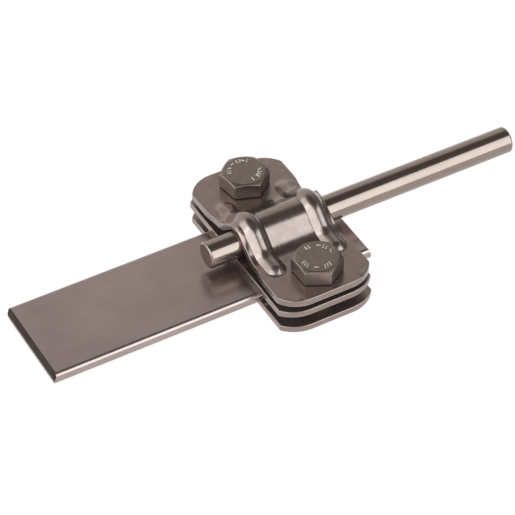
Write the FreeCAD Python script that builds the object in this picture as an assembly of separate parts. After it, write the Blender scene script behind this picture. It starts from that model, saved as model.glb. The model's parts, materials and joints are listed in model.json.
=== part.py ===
import FreeCAD, Part
import math
import os
from FreeCAD import Vector

# Disconnecting clamp that joins a round conductor to a flat one.
# Three stainless plates are stacked on two hexagon bolts. The flat bar lies between the lower and
# the intermediate plate. The rod lies between the intermediate and the upper plate, in the hump
# that is pressed across the upper plate. The bolts screw into drawn, tapped collars of the lower
# plate. A short length of rod and of bar is gripped in the clamp.
# X runs along both conductors, Y from bolt to bolt, Z up. All sizes are in millimetres.

# Conductors
rod_diameter = 8.0
rod_length = 102.0
rod_stub = 24.3
rod_chamfer = 0.3
bar_width = 30.0
bar_thickness = 4.0
bar_length = 101.4
bar_overhang = 21.3
bar_edge_round = 0.8
bar_end_break = 0.5

# Bolts, size M8 with a 13 mm hexagon
bolt_diameter = 8.0
bolt_length = 16.0
bolt_tip_chamfer = 0.8
head_across_flats = 13.0
head_height = 5.3
head_top_inset = 0.4
head_chamfer_angle = 28.0
washer_face_inset = 0.7
washer_face_height = 0.3
near_head_turn = 32.0
far_head_turn = 39.0

# Plates, blanked with their upper edges rolled over a little. The bolts stand beside the bar, and
# the plates reach past the bolts. The corner arcs run into the short ends smoothly, but meet the
# long sides at a blunt angle.
bolt_bar_gap = 2.0
plate_end_margin = 9.0
plate_width = 30.0
end_flat = 13.2
flat_corner_radius = 11.0
upper_corner_radius = 9.5
upper_thickness = 2.2
intermediate_thickness = 2.0
lower_thickness = 2.0
upper_edge_break = 0.3

# Bolt holes and the tapped collars drawn down from the lower plate
hole_clearance = 0.5
thread_clearance = 0.05
collar_wall = 1.6
collar_drop = 2.6
collar_root_break = 0.8
bore_chamfer = 0.5

# Hump pressed across the upper plate, drawn in at its sides as the metal was pulled into it
rod_seat_clearance = 0.1
hump_radius = 5.0
hump_foot_radius = 5.0
land_gap = 2.1
waist_depth = 0.8
waist_bend = 6.5
waist_corner_gap = 7.5

# Two beads pressed over the hump, with a groove under each
bead_offset = 9.9
bead_width = 6.4
bead_height = 1.7
bead_crown_width = 3.6
bead_flank_height = 1.0
bead_bolt_gap = 3.1
groove_width = 2.4
groove_slope = 0.7

# How far each plate hangs to one side in the play of its bolt holes, as shares of that play
upper_lean_x = -0.8
upper_lean_y = -0.45
intermediate_lean_x = -0.9
intermediate_lean_y = 0.0

# Sizes that follow
bolt_spacing = bar_width + bolt_diameter + 2 * bolt_bar_gap
plate_length = bolt_spacing + 2 * plate_end_margin
bolt_radius = bolt_diameter / 2
rod_radius = rod_diameter / 2

# Levels, counted up from the face that carries the flat bar
intermediate_z = bar_thickness
rod_seat_z = intermediate_z + intermediate_thickness
rod_axis_z = rod_seat_z + rod_radius
land_z = rod_seat_z + land_gap
head_seat_z = land_z + upper_thickness
bolt_tip_z = head_seat_z - bolt_length
hump_axis_z = rod_axis_z + rod_radius + rod_seat_clearance - hump_radius
collar_end_z = -lower_thickness - collar_drop

# The origin is the middle of the whole piece's box, on the plane through its lowest points.
lowest_z = min(bolt_tip_z, collar_end_z)
far_rod_end = rod_length - rod_stub
far_bar_end = bar_length - bar_overhang
to_origin = Vector((far_bar_end - far_rod_end) / 2, 0, -lowest_z)

# Tools reach this far past the faces that they cut.
overcut = 1.0


def line(a, b):
    return Part.LineSegment(a, b).toShape()


def arc(centre, radius, start, end, point):
    """Arc about a centre, with its angles in degrees and its plane given by point(angle)."""
    middle = (start + end) / 2
    ends = [centre + point(angle) * radius for angle in (start, middle, end)]
    return Part.Arc(*ends).toShape()


def plan(angle):
    return Vector(math.cos(math.radians(angle)), math.sin(math.radians(angle)), 0)


def cross_section(angle):
    return Vector(0, math.cos(math.radians(angle)), math.sin(math.radians(angle)))


def upright_section(angle):
    return Vector(math.cos(math.radians(angle)), 0, math.sin(math.radians(angle)))


def waisted_side(half_width, straight_end):
    """Edges of the long side at +X, from the far end to the near one, drawn in beside the hump."""
    waist_end = straight_end - waist_corner_gap
    waist_start = waist_end - waist_bend
    bend_radius = (waist_bend ** 2 + waist_depth ** 2) / (4 * waist_depth)
    turn = math.degrees(math.asin(waist_bend / 2 / bend_radius))
    outer = half_width - bend_radius
    waist = half_width - waist_depth
    inner = waist + bend_radius
    return [
        line(Vector(half_width, straight_end, 0), Vector(half_width, waist_end, 0)),
        arc(Vector(outer, waist_end, 0), bend_radius, 0, -turn, plan),
        arc(Vector(inner, waist_start, 0), bend_radius, 180 - turn, 180, plan),
        line(Vector(waist, waist_start, 0), Vector(waist, -waist_start, 0)),
        arc(Vector(inner, -waist_start, 0), bend_radius, 180, 180 + turn, plan),
        arc(Vector(outer, -waist_end, 0), bend_radius, turn, 0, plan),
        line(Vector(half_width, -waist_end, 0), Vector(half_width, -straight_end, 0)),
    ]


def plate_outline(corner_radius, waisted):
    """Closed plan of a plate: two short ends, four corner arcs, straight or waisted long sides."""
    half_width = plate_width / 2
    half_length = plate_length / 2
    x = end_flat / 2
    y = half_length - corner_radius
    begin = math.degrees(math.acos((half_width - x) / corner_radius))
    side_end = y + corner_radius * math.sin(math.radians(begin))
    if waisted:
        side = waisted_side(half_width, side_end)
    else:
        side = [line(Vector(half_width, side_end, 0), Vector(half_width, -side_end, 0))]
    half = side + [
        arc(Vector(x, -y, 0), corner_radius, -begin, -90, plan),
        line(Vector(x, -half_length, 0), Vector(-x, -half_length, 0)),
        arc(Vector(-x, -y, 0), corner_radius, -90, begin - 180, plan),
    ]
    other = [edge.copy() for edge in half]
    for edge in other:
        edge.rotate(Vector(), Vector(0, 0, 1), 180)
    return Part.Wire(half + other)


def hump_foot(height):
    """Where the arch's foot arc begins: its radius, centre height and place, and the slope it ends at."""
    foot_radius = hump_foot_radius + upper_thickness - height
    foot_z = land_z + height + foot_radius
    rise = foot_z - hump_axis_z
    foot_y = math.sqrt((hump_radius + height + foot_radius) ** 2 - rise ** 2)
    slope = math.degrees(math.atan2(rise, foot_y))
    return foot_radius, foot_y, foot_z, slope


def hump_line(height):
    """Edges of the pressed line in the YZ plane, at a height above the plate's underside."""
    foot_radius, foot_y, foot_z, slope = hump_foot(height)
    end_y = plate_length / 2
    z = land_z + height
    crown = Vector(0, 0, hump_axis_z)
    return [
        line(Vector(0, -end_y, z), Vector(0, -foot_y, z)),
        arc(Vector(0, -foot_y, foot_z), foot_radius, -90, -slope, cross_section),
        arc(crown, hump_radius + height, 180 - slope, slope, cross_section),
        arc(Vector(0, foot_y, foot_z), foot_radius, 180 + slope, 270, cross_section),
        line(Vector(0, foot_y, z), Vector(0, end_y, z)),
    ]


def bead_profile():
    """Section of a bead, counted up from the plate's underside: round crown, sloping flanks."""
    half_width = bead_width / 2
    half_crown = bead_crown_width / 2
    root_z = upper_thickness / 2
    flank_z = upper_thickness + bead_flank_height
    top_z = upper_thickness + bead_height
    left, top, right = Vector(-half_crown, 0, flank_z), Vector(0, 0, top_z), Vector(half_crown, 0, flank_z)
    return Part.Face(Part.Wire([
        Part.Arc(left, top, right).toShape(),
        line(right, Vector(half_width, 0, upper_thickness)),
        line(Vector(half_width, 0, upper_thickness), Vector(half_width, 0, root_z)),
        line(Vector(half_width, 0, root_z), Vector(-half_width, 0, root_z)),
        line(Vector(-half_width, 0, root_z), Vector(-half_width, 0, upper_thickness)),
        line(Vector(-half_width, 0, upper_thickness), left),
    ]))


def groove_profile():
    """Section of the groove under a bead: a flat bottom between two slopes."""
    half_mouth = groove_width / 2
    half_bottom = half_mouth - groove_slope
    side = [Vector(half_bottom, 0, bead_height), Vector(half_mouth, 0, 0), Vector(half_mouth, 0, -overcut)]
    points = side + [Vector(-point.x, 0, point.z) for point in reversed(side)]
    return Part.Face(Part.makePolygon(points + points[:1]))


def along_hump(x, section):
    """Solid with round ends that carries a section along the pressed line, at a place across the plate."""
    foot_y, foot_z, slope = hump_foot(0)[1:]
    end_y = bolt_spacing / 2 - bead_bolt_gap - bead_width / 2
    axis = Vector(1, 0, 0)
    rise = 90 - slope
    over_arch = section.translated(Vector(0, 0, hump_axis_z + hump_radius))
    over_arch.rotate(Vector(0, 0, hump_axis_z), axis, rise)
    arch = over_arch.revolve(Vector(0, 0, hump_axis_z), axis, -2 * rise)

    on_land = section.translated(Vector(0, foot_y, land_z))
    foot = on_land.revolve(Vector(0, foot_y, foot_z), axis, -rise)
    straight = on_land.extrude(Vector(0, end_y - foot_y, 0))
    right_side = Part.makeBox(bead_width, overcut, plate_width, Vector(0, -overcut / 2, -plate_width / 2))
    half_section = section.common(right_side).Faces[0]
    end = half_section.revolve(Vector(), Vector(0, 0, 1), 180)
    end.translate(Vector(0, end_y, land_z))

    side = [foot, straight, end]
    solid = arch.fuse(side + [piece.mirror(Vector(), Vector(0, 1, 0)) for piece in side])
    solid.translate(Vector(x, 0, 0))
    return solid


def bolt_holes(radius, bottom_z, depth):
    return [
        Part.makeCylinder(radius, depth, Vector(0, side * bolt_spacing / 2, bottom_z))
        for side in (-1, 1)
    ]


def upper_rim(solid, outline, top_line):
    """Edges where the outline meets the upper face, whose line in the YZ plane is given."""
    near = 0.01
    found = []
    for edge in solid.Edges:
        middle = edge.valueAt((edge.FirstParameter + edge.LastParameter) / 2)
        aside = outline.distToShape(Part.Vertex(Vector(middle.x, middle.y, 0)))[0]
        below = top_line.distToShape(Part.Vertex(Vector(0, middle.y, middle.z)))[0]
        if aside < near and below < near:
            found.append(edge)
    return found


def lean(share_x, share_y):
    return Vector(share_x, share_y, 0) * hole_clearance


def upper_plate():
    """Pressed plate: hump over the rod, two beads across it, holes for the bolts."""
    underside = hump_line(0)
    top = hump_line(upper_thickness)
    ends = [
        line(underside[0].Vertexes[0].Point, top[0].Vertexes[0].Point),
        line(underside[-1].Vertexes[-1].Point, top[-1].Vertexes[-1].Point),
    ]
    section = Part.Face(Part.Wire(Part.__sortEdges__(underside + top + ends)))
    section.translate(Vector(-plate_width / 2, 0, 0))
    sheet = section.extrude(Vector(plate_width, 0, 0))
    outline = plate_outline(upper_corner_radius, True)
    blank = Part.Face(outline).extrude(Vector(0, 0, hump_axis_z + hump_radius + upper_thickness + overcut))
    plate = sheet.common(blank)
    plate = plate.makeChamfer(upper_edge_break, upper_rim(plate, outline, Part.Wire(top)))

    places = (-bead_offset, bead_offset)
    plate = plate.fuse([along_hump(x, bead_profile()) for x in places])
    plate = plate.cut([along_hump(x, groove_profile()) for x in places])
    holes = bolt_holes(bolt_radius + hole_clearance, land_z - overcut, upper_thickness + 2 * overcut)
    offset = lean(upper_lean_x, upper_lean_y)
    plate = plate.cut([hole.translated(-offset) for hole in holes])
    plate.translate(offset)
    return plate.removeSplitter()


def flat_plate(thickness, top_z):
    """Flat plate with rounded corners, its bolt holes not yet cut."""
    outline = plate_outline(flat_corner_radius, False)
    plate = Part.Face(outline).extrude(Vector(0, 0, thickness))
    end = Vector(0, plate_length / 2, thickness)
    top_line = line(end - Vector(0, plate_length, 0), end)
    plate = plate.makeChamfer(upper_edge_break, upper_rim(plate, outline, top_line))
    plate.translate(Vector(0, 0, top_z - thickness))
    return plate


def intermediate_plate():
    """Flat plate that parts the two conductors."""
    plate = flat_plate(intermediate_thickness, intermediate_z + intermediate_thickness)
    depth = intermediate_thickness + 2 * overcut
    holes = bolt_holes(bolt_radius + hole_clearance, intermediate_z - overcut, depth)
    plate.translate(lean(intermediate_lean_x, intermediate_lean_y))
    return plate.cut(holes)


def collar(bore_radius):
    """Collar of revolution under the lower plate, solid, wider at its root."""
    radius = bore_radius + collar_wall
    root_radius = radius + collar_root_break
    inside_z = -lower_thickness / 2
    root_z = -lower_thickness
    section = Part.Wire([
        line(Vector(0, 0, inside_z), Vector(root_radius, 0, inside_z)),
        line(Vector(root_radius, 0, inside_z), Vector(root_radius, 0, root_z)),
        line(Vector(root_radius, 0, root_z), Vector(radius, 0, root_z - collar_root_break)),
        line(Vector(radius, 0, root_z - collar_root_break), Vector(radius, 0, collar_end_z)),
        line(Vector(radius, 0, collar_end_z), Vector(0, 0, collar_end_z)),
        line(Vector(0, 0, collar_end_z), Vector(0, 0, inside_z)),
    ])
    return Part.Face(section).revolve(Vector(), Vector(0, 0, 1), 360)


def collar_bore(bore_radius):
    """Tools that cut the bore through plate and collar, and the chamfer where the bolt enters it."""
    mouth_radius = bore_radius + bore_chamfer
    return [
        Part.makeCylinder(bore_radius, -collar_end_z, Vector(0, 0, collar_end_z)),
        Part.makeCone(bore_radius, mouth_radius, bore_chamfer, Vector(0, 0, -bore_chamfer)),
    ]


def lower_plate():
    """Flat plate whose metal is drawn down round each bolt into a collar, bored for the thread."""
    plate = flat_plate(lower_thickness, 0)
    bore_radius = bolt_radius + thread_clearance
    for side in (-1, 1):
        centre = Vector(0, side * bolt_spacing / 2, 0)
        plate = plate.fuse(collar(bore_radius).translated(centre))
        plate = plate.cut([tool.translated(centre) for tool in collar_bore(bore_radius)])
    return plate.removeSplitter()


def bolt(side, head_turn):
    """Hexagon bolt threaded up to its head, with the head's corners turned to a cone."""
    corner = head_across_flats / math.sqrt(3)
    hexagon = Part.makePolygon([plan(60 * k) * corner for k in range(7)])
    head = Part.Face(Part.Wire(hexagon.Edges)).extrude(Vector(0, 0, head_height))
    slope = math.tan(math.radians(head_chamfer_angle))
    top_radius = head_across_flats / 2 - head_top_inset
    washer_radius = head_across_flats / 2 - washer_face_inset
    shoulder = head_height - (corner - top_radius) * slope
    turned = Part.makePolygon([
        Vector(0, 0, 0),
        Vector(washer_radius, 0, 0),
        Vector(washer_radius, 0, washer_face_height),
        Vector(corner, 0, washer_face_height),
        Vector(corner, 0, shoulder),
        Vector(top_radius, 0, head_height),
        Vector(0, 0, head_height),
        Vector(0, 0, 0),
    ])
    head = head.common(Part.Face(turned).revolve(Vector(), Vector(0, 0, 1), 360))
    head.rotate(Vector(), Vector(0, 0, 1), head_turn)
    tip_radius = bolt_radius - bolt_tip_chamfer
    shank_length = bolt_length - bolt_tip_chamfer
    shank = Part.makeCylinder(bolt_radius, shank_length, Vector(0, 0, -shank_length))
    tip = Part.makeCone(tip_radius, bolt_radius, bolt_tip_chamfer, Vector(0, 0, -bolt_length))
    solid = head.fuse([shank, tip]).removeSplitter()
    solid.translate(Vector(0, side * bolt_spacing / 2, head_seat_z))
    return solid


def round_conductor():
    """Short drawn rod, its cut ends chamfered."""
    rod = Part.makeCylinder(rod_radius, rod_length, Vector(-rod_stub, 0, rod_axis_z), Vector(1, 0, 0))
    ends = [edge for edge in rod.Edges if edge.Closed]
    return rod.makeChamfer(rod_chamfer, ends)


def flat_conductor():
    """Short rolled bar: long edges well rounded, sheared ends with their edges broken."""
    corner = Vector(bar_overhang - bar_length, -bar_width / 2, 0)
    bar = Part.makeBox(bar_length, bar_width, bar_thickness, corner)
    long_edges = [edge for edge in bar.Edges if edge.Length > bar_length - 0.01]
    bar = bar.makeFillet(bar_edge_round, long_edges)
    end_edges = [edge for edge in bar.Edges if edge.BoundBox.XLength < 0.01]
    return bar.makeChamfer(bar_end_break, end_edges)


pieces = {
    "lower_threaded_plate": lower_plate(),
    "intermediate_plate": intermediate_plate(),
    "upper_clamp_plate": upper_plate(),
    "near_bolt": bolt(-1, near_head_turn),
    "far_bolt": bolt(1, far_head_turn),
    "round_conductor": round_conductor(),
    "flat_conductor": flat_conductor(),
}

os.makedirs("parts", exist_ok=True)
for node, shape in pieces.items():
    shape.translate(to_origin)
    shape.exportStep("parts/" + node + ".step")
    print(node, shape.ShapeType, shape.isValid(), len(shape.Solids), round(shape.Volume, 1))
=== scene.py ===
import json
import math

import bpy
from mathutils import Matrix, Vector

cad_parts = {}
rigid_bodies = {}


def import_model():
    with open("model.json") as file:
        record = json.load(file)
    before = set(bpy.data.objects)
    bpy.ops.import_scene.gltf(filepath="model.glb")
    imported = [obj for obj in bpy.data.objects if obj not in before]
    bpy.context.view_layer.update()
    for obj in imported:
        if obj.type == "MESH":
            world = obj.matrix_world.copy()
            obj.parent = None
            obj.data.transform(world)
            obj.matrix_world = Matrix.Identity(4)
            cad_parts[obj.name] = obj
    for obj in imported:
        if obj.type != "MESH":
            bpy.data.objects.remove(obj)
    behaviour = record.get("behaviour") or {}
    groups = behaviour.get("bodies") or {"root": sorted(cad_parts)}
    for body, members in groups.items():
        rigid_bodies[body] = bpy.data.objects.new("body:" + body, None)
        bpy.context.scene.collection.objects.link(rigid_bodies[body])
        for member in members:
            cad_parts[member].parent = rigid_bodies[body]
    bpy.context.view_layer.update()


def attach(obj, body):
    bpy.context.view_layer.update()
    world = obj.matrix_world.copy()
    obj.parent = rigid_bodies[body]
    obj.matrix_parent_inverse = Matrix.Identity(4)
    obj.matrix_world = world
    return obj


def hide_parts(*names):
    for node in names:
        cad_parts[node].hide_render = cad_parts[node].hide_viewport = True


for leftover in list(bpy.data.objects):
    bpy.data.objects.remove(leftover)

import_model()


# Lower plate. Stainless sheet, blanked with round corners and a rolled-over upper edge. Its metal
# is drawn down round each bolt into a tapped collar, so the clamp needs no nuts. The clamp's sizes
# are in millimetres and are multiplied by mm where Blender takes metres.
mm = 0.001
hair = 0.001
bolt_x, bolt_y = 1.2, 21.0
half_width, half_length = 15.0, 30.0
half_flat_end = 6.6
rolled_edge, lower_edge = 0.3, 0.12
plate_thickness = 2.0
plate_corner = 11.0
lower_plate_low = 3.7
lower_plate_high = lower_plate_low + plate_thickness
collar_radius, collar_low, collar_high = 5.65, 1.1, 2.9
collar_root = 4.4
flare_radius, flare_steps = 0.8, 6
bore_radius, bore_low, bore_chamfer = 4.05, 0.5, 0.5


def take(piece):
    """Makes a piece the only selected one and the active one."""
    bpy.ops.object.select_all(action="DESELECT")
    piece.select_set(True)
    bpy.context.view_layer.objects.active = piece


def keep_in_place(piece):
    """Puts the piece's place into its mesh, so that the object stands at the origin."""
    take(piece)
    bpy.ops.object.transform_apply(location=True, rotation=True, scale=True)
    return piece


def add_block(name, low, high):
    """Block between two corners."""
    centre = [(a + b) / 2 * mm for a, b in zip(low, high)]
    bpy.ops.mesh.primitive_cube_add(size=1, location=centre)
    block = bpy.context.object
    block.name = name
    block.scale = [(b - a) * mm for a, b in zip(low, high)]
    return keep_in_place(block)


def add_round_bar(name, radius, low_z, high_z, y, sides=96, turn=0):
    """Upright bar on the line of the bolts, round or many-sided, turned by degrees about itself."""
    bpy.ops.mesh.primitive_cylinder_add(
        vertices=sides,
        radius=radius * mm,
        depth=(high_z - low_z) * mm,
        location=(bolt_x * mm, y * mm, (low_z + high_z) / 2 * mm),
        rotation=(0, 0, math.radians(turn)),
    )
    round_bar = bpy.context.object
    round_bar.name = name
    return keep_in_place(round_bar)


def select_edges(piece, wanted):
    """Goes into edit mode with only those edges selected whose two ends pass the test."""
    take(piece)
    bpy.ops.object.mode_set(mode="EDIT")
    bpy.ops.mesh.select_mode(type="EDGE")
    bpy.ops.mesh.select_all(action="DESELECT")
    bpy.ops.object.mode_set(mode="OBJECT")
    points = [vertex.co / mm for vertex in piece.data.vertices]
    for edge in piece.data.edges:
        edge.select = wanted(points[edge.vertices[0]], points[edge.vertices[1]])
    bpy.ops.object.mode_set(mode="EDIT")


def at_height(z):
    """Test for an edge that lies level at a height."""
    return lambda a, b: abs(a.z - z) < hair and abs(b.z - z) < hair


def upright(a, b):
    """Test for an edge that stands upright."""
    return abs(a.x - b.x) < hair and abs(a.y - b.y) < hair


def round_edges(piece, wanted, width, segments):
    """Rounds the edges that pass the test."""
    select_edges(piece, wanted)
    bpy.ops.mesh.bevel(offset=width * mm, segments=segments, profile=0.5, affect="EDGES")
    bpy.ops.object.mode_set(mode="OBJECT")


def draw_end(round_bar, end_z, new_z, scale, y):
    """Extrudes an upright bar's end face to another height and makes it larger or smaller."""
    select_edges(round_bar, at_height(end_z))
    bpy.ops.mesh.select_mode(type="FACE")
    bpy.ops.mesh.extrude_region_move(
        TRANSFORM_OT_translate={"value": (0, 0, (new_z - end_z) * mm)}
    )
    bpy.ops.transform.resize(
        value=(scale, scale, 1), center_override=(bolt_x * mm, y * mm, new_z * mm)
    )
    bpy.ops.object.mode_set(mode="OBJECT")


def slice_mesh(point, outwards, keep_both=False, reach=0.1):
    """In edit mode, cuts along the plane through a point, takes the outer side off unless both are
    kept, and closes the cut. Points within reach of the plane count as lying on it."""
    bpy.ops.mesh.select_all(action="SELECT")
    bpy.ops.mesh.bisect(
        plane_co=[value * mm for value in point],
        plane_no=outwards,
        threshold=reach * mm,
        use_fill=not keep_both,
        clear_outer=not keep_both,
    )


def combine(piece, other, how):
    """Joins, cuts or trims a piece with another one, which is used up."""
    take(piece)
    modifier = piece.modifiers.new("combine", "BOOLEAN")
    modifier.operation = how
    modifier.solver = "EXACT"
    modifier.object = other
    bpy.ops.object.modifier_apply(modifier=modifier.name)
    bpy.data.objects.remove(other)


def finish_shading(piece, angle=28):
    """Smooth where the surface bends gently, with flat faces kept flat beside rounded edges."""
    take(piece)
    bpy.ops.object.shade_smooth_by_angle(angle=math.radians(angle))
    modifier = piece.modifiers.new("flats", "WEIGHTED_NORMAL")
    modifier.keep_sharp = True
    modifier.weight = 60
    bpy.ops.object.modifier_apply(modifier=modifier.name)


def plate_blank(
    name, centre_x, low_z, thickness, corner, near_y=-half_length, far_y=half_length
):
    """Blank with a rolled-over upper edge. Its corner arcs meet the long sides at an angle."""
    high_z = low_z + thickness
    uncut = half_flat_end + corner
    plate = add_block(name, (centre_x - uncut, near_y, low_z), (centre_x + uncut, far_y, high_z))
    round_edges(plate, upright, corner, segments=24)
    bpy.ops.object.mode_set(mode="EDIT")
    for side in (-1, 1):
        slice_mesh((centre_x + side * half_width, 0, 0), (side, 0, 0))
    bpy.ops.object.mode_set(mode="OBJECT")
    round_edges(plate, at_height(high_z), rolled_edge, segments=4)
    round_edges(plate, at_height(low_z), lower_edge, segments=2)
    return plate


def add_noise(tree, vector, scale, detail, roughness=0.5):
    """Noise about 0.5 that reads a vector."""
    noise = tree.nodes.new("ShaderNodeTexNoise")
    noise.inputs["Scale"].default_value = scale
    noise.inputs["Detail"].default_value = detail
    noise.inputs["Roughness"].default_value = roughness
    tree.links.new(vector, noise.inputs["Vector"])
    return noise.outputs["Fac"]


def add_range(tree, value, limits, new_limits):
    """Moves a value from between two limits to between two others."""
    shifted = tree.nodes.new("ShaderNodeMapRange")
    shifted.inputs["From Min"].default_value, shifted.inputs["From Max"].default_value = limits
    shifted.inputs["To Min"].default_value, shifted.inputs["To Max"].default_value = new_limits
    tree.links.new(value, shifted.inputs["Value"])
    return shifted.outputs["Result"]


def add_relief(tree, height, strength, depth):
    """Bump from a height, with its depth in metres."""
    bump = tree.nodes.new("ShaderNodeBump")
    bump.inputs["Strength"].default_value = strength
    bump.inputs["Distance"].default_value = depth
    tree.links.new(height, bump.inputs["Height"])
    return bump


def steel(name, dark, light, roughness, grain, mottle=220.0, dents=0.0, relief=0.12):
    """Bare stainless steel, faintly dulled. Its tone drifts, and fine lines follow the way it was
    worked. The grain says how close they lie along each axis."""
    material = bpy.data.materials.new(name)
    material.use_nodes = True
    tree = material.node_tree
    shader = tree.nodes["Principled BSDF"]
    shader.inputs["Metallic"].default_value = 0.9
    place = tree.nodes.new("ShaderNodeTexCoord").outputs["Object"]

    tone = tree.nodes.new("ShaderNodeValToRGB")
    for element, position, colour in zip(tone.color_ramp.elements, (0.3, 0.7), (dark, light)):
        element.position = position
        element.color = (*colour, 1)
    drift = add_noise(tree, place, scale=mottle, detail=5.0, roughness=0.55)
    tree.links.new(drift, tone.inputs["Fac"])
    tree.links.new(tone.outputs["Color"], shader.inputs["Base Color"])

    stretch = tree.nodes.new("ShaderNodeMapping")
    stretch.inputs["Scale"].default_value = grain
    tree.links.new(place, stretch.inputs["Vector"])
    lines = add_noise(tree, stretch.outputs["Vector"], scale=1.0, detail=3.0)
    tree.links.new(add_range(tree, lines, (0.25, 0.75), roughness), shader.inputs["Roughness"])

    surface = add_relief(tree, lines, relief, depth=0.000012)
    if dents:
        waves = add_noise(tree, place, scale=700.0, detail=2.0)
        dented = add_relief(tree, waves, dents, depth=0.0001)
        tree.links.new(surface.outputs["Normal"], dented.inputs["Normal"])
        surface = dented
    tree.links.new(surface.outputs["Normal"], shader.inputs["Normal"])
    return material


lower_plate = plate_blank("lower_plate", bolt_x, lower_plate_low, plate_thickness, plate_corner)
for side in (-1, 1):
    y = side * bolt_y
    collar = add_round_bar("collar", collar_radius, collar_low, collar_high, y)
    round_edges(collar, at_height(collar_low), width=0.2, segments=2)
    radius, height = collar_radius, collar_high
    for step in range(1, flare_steps + 1):
        angle = math.radians(90 / flare_steps * step)
        new_radius = collar_radius + flare_radius * (1 - math.cos(angle))
        new_height = collar_high + flare_radius * math.sin(angle)
        draw_end(collar, height, new_height, new_radius / radius, y)
        radius, height = new_radius, new_height
    draw_end(collar, height, collar_root, 1.0, y)
    combine(lower_plate, collar, "UNION")
    chamfer_low = lower_plate_high - bore_chamfer
    chamfer_high = lower_plate_high + bore_chamfer
    bore = add_round_bar("bore", bore_radius, bore_low, chamfer_low, y)
    draw_end(bore, chamfer_low, chamfer_high, (bore_radius + 2 * bore_chamfer) / bore_radius, y)
    combine(lower_plate, bore, "DIFFERENCE")
finish_shading(lower_plate)
plate_finish = steel(
    "rolled_sheet_steel", dark=(0.271, 0.210, 0.187), light=(0.320, 0.249, 0.223),
    roughness=(0.24, 0.32), grain=(60, 1400, 1400),
)
lower_plate.data.materials.append(plate_finish)
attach(lower_plate, "base")
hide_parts("lower_threaded_plate")


# Flat conductor. A short length of rolled stainless bar, 30 by 4 mm, with full, rounded long edges.
# Its ends are sheared: the cut is a rough slope above a thin bright strip, and one corner is
# knocked off. The slope is coloured near black as painted shade, for the dark that it sees.
bar_left, bar_right = -78.9, 22.5
bar_near, bar_far = -15.8, 15.1
bar_low, bar_high = lower_plate_high, 9.7
cut_foot = 7.1
knocked_off = 0.5


def along_the_bar(z):
    """Test for an edge that runs the length of the bar at a height."""
    return lambda a, b: at_height(z)(a, b) and abs(a.x - b.x) > 20


def wear_edges(piece, width, segments, angle=30):
    """Rounds every edge that is sharper than an angle in degrees."""
    take(piece)
    modifier = piece.modifiers.new("worn_edges", "BEVEL")
    modifier.width = width * mm
    modifier.segments = segments
    modifier.limit_method = "ANGLE"
    modifier.angle_limit = math.radians(angle)
    bpy.ops.object.modifier_apply(modifier=modifier.name)


def on_painted_shade_slope(face):
    """Whether a face is on the rough slope of a cut end, above its bright strip, where shade is
    painted.
    """
    faces_end = abs(face.normal.x) > 0.3 and abs(face.normal.y) < 0.3
    return faces_end and face.center.z > (cut_foot + 0.2) * mm


bar = add_block("flat_bar", (bar_left, bar_near, bar_low), (bar_right, bar_far, bar_high))
round_edges(bar, along_the_bar(bar_high), width=1.2, segments=8)
round_edges(bar, along_the_bar(bar_low), width=1.8, segments=8)
bpy.ops.object.mode_set(mode="EDIT")
slice_mesh((bar_left, 0, cut_foot), (-0.966, 0, 0.259))
slice_mesh((bar_right, 0, cut_foot), (0.966, 0, 0.259))
slice_mesh((bar_left + knocked_off, bar_near, cut_foot), (-0.70, -0.71, -0.10))
bpy.ops.object.mode_set(mode="OBJECT")
wear_edges(bar, width=0.35, segments=4, angle=50)
finish_shading(bar)
bar.data.materials.append(steel(
    "rolled_bar_steel", dark=(0.348, 0.274, 0.257), light=(0.420, 0.336, 0.316),
    roughness=(0.21, 0.27), grain=(25, 1500, 1500), mottle=45.0, relief=0.04,
))
# Near-black colour on the sheared slope: painted shade. Its roughness and relief are the real rough
# cut.
bar.data.materials.append(steel(
    "sheared_end_painted_shade", dark=(0.020, 0.008, 0.003), light=(0.040, 0.024, 0.014),
    roughness=(0.45, 0.60), grain=(1500, 1500, 400), relief=0.4,
))
# The slope's faces get the near-black material, which is painted shade.
for face in bar.data.polygons:
    if on_painted_shade_slope(face):
        face.material_index = 1
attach(bar, "base")
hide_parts("flat_conductor")


# Intermediate plate. The same flat blank as the lower plate, with plain holes for the bolts. It
# keeps the two conductors apart, and hangs a little to the left in the play of its holes.
middle_plate_x = 0.75
plain_hole_radius = 4.5
hole_low, hole_high = 8.0, 13.0
intermediate_plate = plate_blank(
    "middle_plate", middle_plate_x, bar_high, plate_thickness, plate_corner
)
for side in (-1, 1):
    hole = add_round_bar("hole", plain_hole_radius, hole_low, hole_high, side * bolt_y)
    combine(intermediate_plate, hole, "DIFFERENCE")
finish_shading(intermediate_plate)
intermediate_plate.data.materials.append(plate_finish)
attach(intermediate_plate, "base")
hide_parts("intermediate_plate")


# Round conductor. A short length of bright drawn stainless rod, 8 mm thick, cut off square with
# the rims of its ends rounded. It lies on the intermediate plate, in the hump of the upper plate.
rod_radius, rod_length = 4.0, 102.0
rod_x, rod_z = 27.9, 15.7


def round_the_end(a, b):
    """Test for an edge on the rim of an end."""
    return abs(a.x - b.x) < hair


bpy.ops.mesh.primitive_cylinder_add(
    vertices=128,
    radius=rod_radius * mm,
    depth=rod_length * mm,
    location=(rod_x * mm, 0, rod_z * mm),
    rotation=(0, math.radians(90), 0),
)
rod = keep_in_place(bpy.context.object)
rod.name = "round_rod"
round_edges(rod, round_the_end, width=0.7, segments=5)
finish_shading(rod, angle=40)
rod.data.materials.append(steel(
    "drawn_rod_steel", dark=(0.275, 0.215, 0.187), light=(0.303, 0.239, 0.209),
    roughness=(0.13, 0.18), grain=(30, 2200, 2200), mottle=120.0, relief=0.1,
))
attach(rod, "base")
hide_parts("round_conductor")


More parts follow.
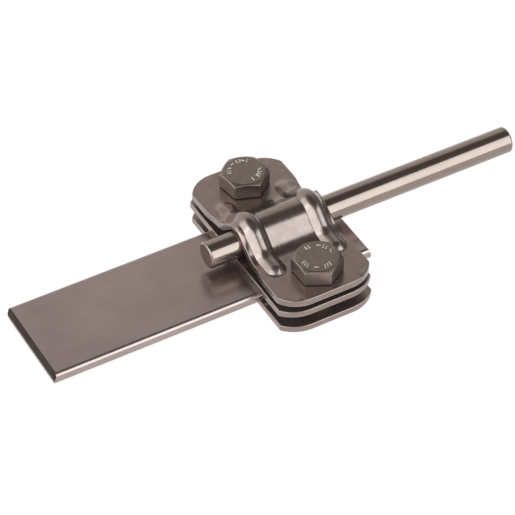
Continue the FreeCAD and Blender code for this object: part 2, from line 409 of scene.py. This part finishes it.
# Upper plate. A longer blank of slightly thicker sheet, pressed over a former into a hump for the
# rod, with two stiffening beads that run over the hump and die out beside the bolts. The metal was
# drawn in at the long sides of the hump, and the blank was tumbled bright.
upper_plate_x = 0.8
near_edge, far_edge = 30.225, 29.775
sheet = 2.2
pressed_corner = 9.5
land_z = 13.8
crown_y, crown_z = 0.3, 15.9
crown_radius, foot_radius = 5.15, 7.4
wall_angle = math.radians(41)
foot_z = land_z + sheet / 2 + foot_radius
both_radii = crown_radius + foot_radius
wall = (both_radii * math.cos(wall_angle) - foot_z + crown_z) / math.sin(wall_angle)
foot_y = both_radii * math.sin(wall_angle) + wall * math.cos(wall_angle)
crown_end = wall_angle * crown_radius
wall_end = crown_end + wall
land_start = wall_end + wall_angle * foot_radius
straightened = land_start - foot_y
drawn_in_most, drawn_in_end, drawn_in_run = 0.8, 17.44, 6.5
droop_most, droop_end, droop_run = 0.9, 7.0, 4.5
droop_start, droop_width = 12.3, 2.7
bead_x, bead_lean, bead_height = 9.9, 0.3, 1.7
bead_half_width, groove_half_width = 3.1, 1.7
near_bead_end = 14.9 + crown_y + straightened
far_bead_end = 14.3 - crown_y + straightened
fade_start, fade_run, fade_share = 9.0, 9.0, 0.55
blank_hole_low, blank_hole_high = -1.0, 4.0
middle_cuts = [0.5 + step for step in range(6)]
bead_cuts = [6.3 + 0.23 * step for step in range(37)]
length_cuts = [0.35 * step for step in range(59)]


def pressed_line(along):
    """Place, height and slope of the sheet's middle, so far along the blank from the crown."""
    s = abs(along)
    if s < crown_end:
        angle = s / crown_radius
        y = crown_radius * math.sin(angle)
        z = crown_z + crown_radius * math.cos(angle)
    elif s < wall_end:
        angle = wall_angle
        y = crown_radius * math.sin(angle) + (s - crown_end) * math.cos(angle)
        z = crown_z + crown_radius * math.cos(angle) - (s - crown_end) * math.sin(angle)
    elif s < land_start:
        angle = wall_angle - (s - wall_end) / foot_radius
        y = foot_y - foot_radius * math.sin(angle)
        z = foot_z - foot_radius * math.cos(angle)
    else:
        angle = 0.0
        y = foot_y + s - land_start
        z = land_z + sheet / 2
    side = math.copysign(1, along)
    return crown_y + side * y, z, side * angle


def share(value):
    """The value, held between 0 and 1."""
    return min(max(value, 0), 1)


def eased(value):
    """Goes smoothly from 0 to 1 as the value does."""
    t = share(value)
    return t * t * (3 - 2 * t)


def drawn_in(across, y):
    """How far the metal is drawn in beside the hump, most at the long sides."""
    beside_hump = eased((drawn_in_end - abs(y)) / drawn_in_run)
    return drawn_in_most * beside_hump * (across / half_width) ** 5


def droop(across, y):
    """How far the outer skin of the two free edges sags on the crown of the hump."""
    on_crown = eased((droop_end - abs(y)) / droop_run)
    at_edge = share((abs(across) - droop_start) / droop_width)
    return droop_most * on_crown * at_edge * at_edge


def bead_rise(across, along, bead_half):
    """How far a bead of some half width rises over the blank. Towards its far end it is lower."""
    over = max(along - far_bead_end, -along - near_bead_end, 0)
    from_crest = abs(abs(across - bead_lean) - bead_x)
    away = min(math.hypot(from_crest, over) / bead_half, 1)
    fade = share((along - fade_start) / fade_run)
    return bead_height * (1 - fade_share * fade) * (1 - away ** 2.2) ** 1.25


def press(plate):
    """Bends the flat blank over the former and raises the beads, with the grooves under them."""
    for vertex in plate.data.vertices:
        blank_across = vertex.co.x / mm - upper_plate_x
        along = vertex.co.y / mm
        height = vertex.co.z / mm
        y, z, angle = pressed_line(along)
        across = blank_across - drawn_in(blank_across, y)
        above = bead_rise(across, along, bead_half_width) - droop(blank_across, y)
        below = bead_rise(across, along, groove_half_width)
        lift = height - sheet / 2 + below + (above - below) * height / sheet
        y += lift * math.sin(angle)
        z += lift * math.cos(angle)
        vertex.co = Vector((across + upper_plate_x, y, z)) * mm


upper_plate = plate_blank(
    "upper_plate", upper_plate_x, 0.0, sheet, pressed_corner,
    near_y=-near_edge - crown_y - straightened, far_y=far_edge - crown_y + straightened,
)
for side in (-1, 1):
    hole_y = side * (bolt_y + straightened) - crown_y
    hole = add_round_bar("hole", plain_hole_radius, blank_hole_low, blank_hole_high, hole_y)
    combine(upper_plate, hole, "DIFFERENCE")
bpy.ops.object.mode_set(mode="EDIT")
for cut in middle_cuts + bead_cuts:
    for side in (-1, 1):
        slice_mesh((upper_plate_x + side * cut, 0, 0), (1, 0, 0), keep_both=True)
for cut in length_cuts:
    for side in (-1, 1) if cut else (1,):
        slice_mesh((0, side * cut, 0), (0, 1, 0), keep_both=True)
bpy.ops.object.mode_set(mode="OBJECT")
press(upper_plate)
finish_shading(upper_plate, angle=35)
upper_plate.data.materials.append(steel(
    "pressed_sheet_steel", dark=(0.267, 0.207, 0.185), light=(0.316, 0.246, 0.221),
    roughness=(0.20, 0.28), grain=(700, 700, 700), mottle=420.0, dents=0.05,
))
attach(upper_plate, "cover")
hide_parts("upper_clamp_plate")


# Hexagon bolts, M8, cold forged from stainless steel and threaded up to the head. They screw into
# the collars of the lower plate. Each head is chamfered and carries a ring of plain raised dashes,
# coloured pale as a painted highlight where they catch the light.
seat_z = 16.0
head_height = 5.3
head_top = seat_z + head_height
across_flats = 13.0
cone_radius, cone_top_radius, cone_height = 7.98, 6.1, 1.0
washer_radius, washer_height = 5.8, 0.3
washer_root = 1.0
thread_pitch = 1.25
thread_start = -1.5
thread_turns, thread_steps = 15, 40
crest_radius, root_radius, tip_radius = 4.0, 3.3, 3.2
dash_ring_radius = 4.5
dash_width, dash_thickness = 0.4, 0.3
dash_middle = head_top + 0.05


def hexagon_head(name, y, turn):
    """Hexagon on a round washer face, turned to a cone above, with its edges worn."""
    corner = across_flats / math.sqrt(3)
    low = seat_z + washer_height
    head = add_round_bar(name, corner, low, head_top, y, sides=6, turn=turn - 30)
    cone_low = head_top - cone_height
    cone = add_round_bar("cone", cone_radius, seat_z, cone_low, y, sides=144)
    draw_end(cone, cone_low, head_top, cone_top_radius / cone_radius, y)
    combine(head, cone, "INTERSECT")
    washer_face = add_round_bar("washer_face", washer_radius, seat_z, seat_z + washer_root, y)
    combine(head, washer_face, "UNION")
    wear_edges(head, width=0.3, segments=3, angle=20)
    return head


def threaded_shank(y):
    """Helical thread, cut level inside the head and at the tip, with the tip chamfered."""
    bpy.ops.mesh.primitive_circle_add(vertices=3, radius=mm, fill_type="NOTHING")
    thread = bpy.context.object
    flanks = (
        (crest_radius, thread_start),
        (root_radius, thread_start + thread_pitch / 2),
        (crest_radius, thread_start + thread_pitch),
    )
    for vertex, (radius, z) in zip(thread.data.vertices, flanks):
        vertex.co = (radius * mm, 0, z * mm)
    select_edges(thread, upright)
    bpy.ops.mesh.delete(type="EDGE")
    bpy.ops.object.mode_set(mode="OBJECT")
    modifier = thread.modifiers.new("thread", "SCREW")
    modifier.screw_offset = thread_pitch * mm
    modifier.iterations = thread_turns
    modifier.steps = thread_steps
    bpy.ops.object.modifier_apply(modifier=modifier.name)
    bpy.ops.object.mode_set(mode="EDIT")
    slice_mesh((0, 0, 0), (0, 0, -1), reach=hair)
    slice_mesh((0, 0, seat_z + washer_height), (0, 0, 1), reach=hair)
    bpy.ops.mesh.select_all(action="SELECT")
    bpy.ops.mesh.normals_make_consistent(inside=False)
    bpy.ops.object.mode_set(mode="OBJECT")
    for vertex in thread.data.vertices:
        radius = math.hypot(vertex.co.x, vertex.co.y)
        most = tip_radius * mm + vertex.co.z
        if radius > most:
            vertex.co.x *= most / radius
            vertex.co.y *= most / radius
        vertex.co += Vector((bolt_x * mm, y * mm, 0))
    return thread


def raised_dashes(y, turn, marks):
    """Short raised bars on top of the head: (degrees round the head, degrees turned, length)."""
    made = []
    for place, lie, length in marks:
        angle = math.radians(place + turn)
        bpy.ops.mesh.primitive_cube_add(
            size=1,
            location=(
                (bolt_x + dash_ring_radius * math.cos(angle)) * mm,
                (y + dash_ring_radius * math.sin(angle)) * mm,
                dash_middle * mm,
            ),
            rotation=(0, 0, angle + math.radians(lie)),
        )
        dash = bpy.context.object
        dash.scale = (length * mm, dash_width * mm, dash_thickness * mm)
        keep_in_place(dash)
        wear_edges(dash, width=0.12, segments=3)
        made.append(dash)
    return made


bolt_finish = steel(
    "forged_bolt_steel", dark=(0.221, 0.171, 0.148), light=(0.271, 0.212, 0.184),
    roughness=(0.28, 0.38), grain=(900, 900, 200), mottle=420.0, dents=0.05, relief=0.3,
)
# The dashes' pale colour is a painted highlight, not the steel's own tone.
dash_highlight_finish = steel(
    "dash_painted_highlight_steel", dark=(0.62, 0.54, 0.47), light=(0.74, 0.65, 0.57),
    roughness=(0.24, 0.34), grain=(900, 900, 900),
)
near_marks = [
    (60, 0, 1.4), (72, 0, 1.4), (23, 90, 1.3), (4, 0, 1.4), (-8, 0, 1.4), (-30, 60, 1.4),
    (150, 20, 1.4), (161, 20, 1.4), (172, 20, 1.4), (206, 90, 1.3),
    (237, -20, 1.4), (248, -20, 1.4), (259, -20, 1.4),
]
far_marks = [
    (52, 0, 1.3), (40, 0, 1.3), (28, 60, 1.3), (12, 0, 1.3), (72, 90, 1.2),
    (99, 30, 1.3), (115, 0, 1.3), (127, 0, 1.3),
    (-59, 30, 1.3), (-76, 0, 1.3), (-87, 0, 1.3), (-98, 0, 1.3), (-124, 0, 1.3),
]
for name, side, turn, marks in (
    ("near_bolt", -1, 32, near_marks),
    ("far_bolt", 1, 39, far_marks),
):
    y = side * bolt_y
    bolt = hexagon_head(name + "_visual", y, turn)
    thread = threaded_shank(y)
    dashes = raised_dashes(y, turn, marks)
    take(bolt)
    for part in [bolt, thread] + dashes:
        part.data.materials.append(dash_highlight_finish if part in dashes else bolt_finish)
        part.select_set(True)
    bpy.ops.object.join()
    finish_shading(bolt, angle=30)
    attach(bolt, name)
    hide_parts(name)


# Studio, in metres. A pale floor that runs out of sight, soft lamps at the right, the left and the
# back left, pale walls that are darker at the far right, and a dark ceiling. What the camera sees
# of the walls is white.
floor_size = 12
floor_glow, floor_glow_share = 1.03, 0.94
ceiling = (0.085, 0.067, 0.055)
wall_tones = [
    (0.0, (0.96, 0.94, 0.92)),
    (0.35, (0.90, 0.88, 0.86)),
    (0.66, (0.77, 0.75, 0.73)),
    (0.84, ceiling),
    (1.0, ceiling),
]
lamp_distance = 1.5
lamp_colour = (0.88, 1.0, 1.05)
clamp_middle = Vector((0, 0, 0.012))

bpy.ops.mesh.primitive_plane_add(size=floor_size, location=(0, 0, 0))
floor = bpy.context.object
floor.name = "studio_floor"
paper = bpy.data.materials.new("white_paper")
paper.use_nodes = True
paper_nodes, paper_links = paper.node_tree.nodes, paper.node_tree.links
paper_surface = paper_nodes["Principled BSDF"]
paper_surface.inputs["Base Color"].default_value = (0.8, 0.8, 0.8, 1)
paper_surface.inputs["Roughness"].default_value = 0.9
paper_glow = paper_nodes.new("ShaderNodeEmission")
paper_glow.inputs["Color"].default_value = (1, 1, 1, 1)
paper_glow.inputs["Strength"].default_value = floor_glow
paper_rays = paper_nodes.new("ShaderNodeLightPath")
seen = paper_rays.outputs["Is Camera Ray"]
for ray in ("Is Glossy Ray", "Is Transmission Ray"):
    either = paper_nodes.new("ShaderNodeMath")
    either.operation = "MAXIMUM"
    paper_links.new(seen, either.inputs[0])
    paper_links.new(paper_rays.outputs[ray], either.inputs[1])
    seen = either.outputs["Value"]
glow_share = paper_nodes.new("ShaderNodeMath")
glow_share.operation = "MULTIPLY"
glow_share.inputs[1].default_value = floor_glow_share
paper_links.new(seen, glow_share.inputs[0])
paper_mix = paper_nodes.new("ShaderNodeMixShader")
paper_links.new(glow_share.outputs["Value"], paper_mix.inputs["Fac"])
paper_links.new(paper_surface.outputs["BSDF"], paper_mix.inputs[1])
paper_links.new(paper_glow.outputs["Emission"], paper_mix.inputs[2])
paper_links.new(paper_mix.outputs["Shader"], paper_nodes["Material Output"].inputs["Surface"])
floor.data.materials.append(paper)

world = bpy.data.worlds.new("studio")
bpy.context.scene.world = world
world.use_nodes = True
air, air_links = world.node_tree.nodes, world.node_tree.links
direction = air.new("ShaderNodeTexCoord")
parts_of = air.new("ShaderNodeSeparateXYZ")
air_links.new(direction.outputs["Generated"], parts_of.inputs["Vector"])
room = air.new("ShaderNodeValToRGB")
room.color_ramp.interpolation = "EASE"
while len(room.color_ramp.elements) < len(wall_tones):
    room.color_ramp.elements.new(0.5)
for element, (height, colour) in zip(room.color_ramp.elements, wall_tones):
    element.position = height
    element.color = (*colour, 1)
air_links.new(parts_of.outputs["Z"], room.inputs["Fac"])
walls = air["Background"]
air_links.new(room.outputs["Color"], walls.inputs["Color"])
to_the_right = add_range(world.node_tree, parts_of.outputs["X"], (0.5, 0.85), (1.0, 0.15))
air_links.new(to_the_right, walls.inputs["Strength"])
white = air.new("ShaderNodeBackground")
white.inputs["Color"].default_value = (1, 1, 1, 1)
air_rays = air.new("ShaderNodeLightPath")
air_mix = air.new("ShaderNodeMixShader")
air_links.new(air_rays.outputs["Is Camera Ray"], air_mix.inputs["Fac"])
air_links.new(walls.outputs["Background"], air_mix.inputs[1])
air_links.new(white.outputs["Background"], air_mix.inputs[2])
air_links.new(air_mix.outputs["Shader"], air["World Output"].inputs["Surface"])


def add_softbox(name, towards, width, height, radiance):
    """Flat lamp that faces the clamp from a direction, as bright per area as asked."""
    lamp = bpy.data.lights.new(name, "AREA")
    lamp.shape = "RECTANGLE"
    lamp.size = width
    lamp.size_y = height
    lamp.energy = radiance * math.pi * width * height
    lamp.color = lamp_colour
    softbox = bpy.data.objects.new(name, lamp)
    bpy.context.collection.objects.link(softbox)
    away = Vector(towards).normalized()
    softbox.location = away * lamp_distance + clamp_middle
    softbox.rotation_mode = "QUATERNION"
    softbox.rotation_quaternion = away.to_track_quat("Z", "Y")
    softbox.visible_camera = False


add_softbox("right_softbox", (0.410, -0.790, 0.454), width=1.4, height=1.6, radiance=2.3)
add_softbox("left_softbox", (-0.788, -0.287, 0.545), width=1.5, height=1.3, radiance=2.3)
add_softbox("back_left_softbox", (-0.815, 0.380, 0.438), width=1.2, height=1.1, radiance=1.5)


# Camera. High at the near left, with a long lens.
camera = bpy.data.objects.new("camera", bpy.data.cameras.new("camera"))
bpy.context.collection.objects.link(camera)
camera.data.sensor_width = 36
camera.data.lens = 171.7
camera.data.clip_start = 0.01
right = Vector((0.87099173, -0.49122893, -0.00821872))
up = Vector((0.34206654, 0.59433632, 0.72784258))
back = Vector((-0.35265265, -0.63675622, 0.685695))
turned = Matrix((right, up, back)).transposed().to_4x4()
camera.matrix_world = Matrix.Translation((-0.2563, -0.4513, 0.4932)) @ turned
bpy.context.scene.camera = camera
bpy.context.scene.view_settings.view_transform = "Standard"
